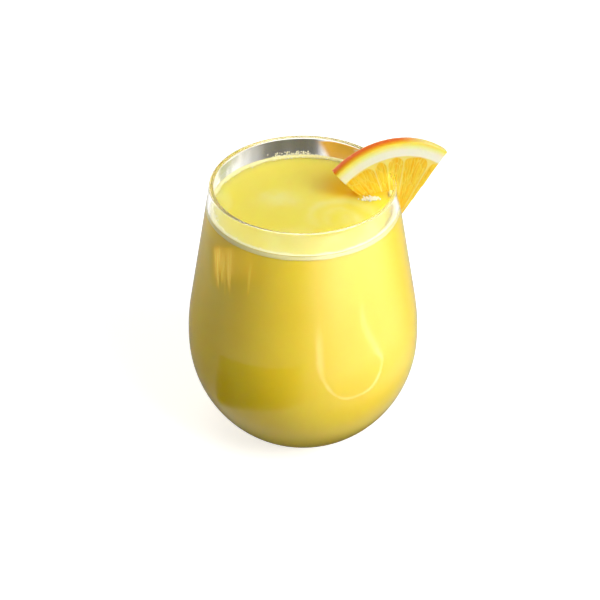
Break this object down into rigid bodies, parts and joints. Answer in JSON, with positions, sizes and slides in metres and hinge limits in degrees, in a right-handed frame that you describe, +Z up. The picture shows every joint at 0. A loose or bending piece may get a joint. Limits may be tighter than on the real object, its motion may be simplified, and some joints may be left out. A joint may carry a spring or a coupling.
{
  "type": "glass of fruit juice with a citrus slice",
  "caption": "Stemless wine glass filled with opaque yellow fruit juice, with a slit slice of orange pushed over its rim.",
  "frame": {"origin": "on the glass's axis, in the plane that the glass stands on", "axes": "+Z up along the glass's axis; the orange slice hangs on the rim 18.5 degrees from +X towards +Y"},
  "size_m": [0.1015, 0.093, 0.1256],
  "materials": {
    "clear_glass": "polished",
    "juice": "glossy, opaque liquid",
    "orange": "moist fruit"
  },
  "bodies": {
    "root": {"glass": "clear_glass", "juice": "juice", "orange_slice": "orange"}
  },
  "joints": []
}
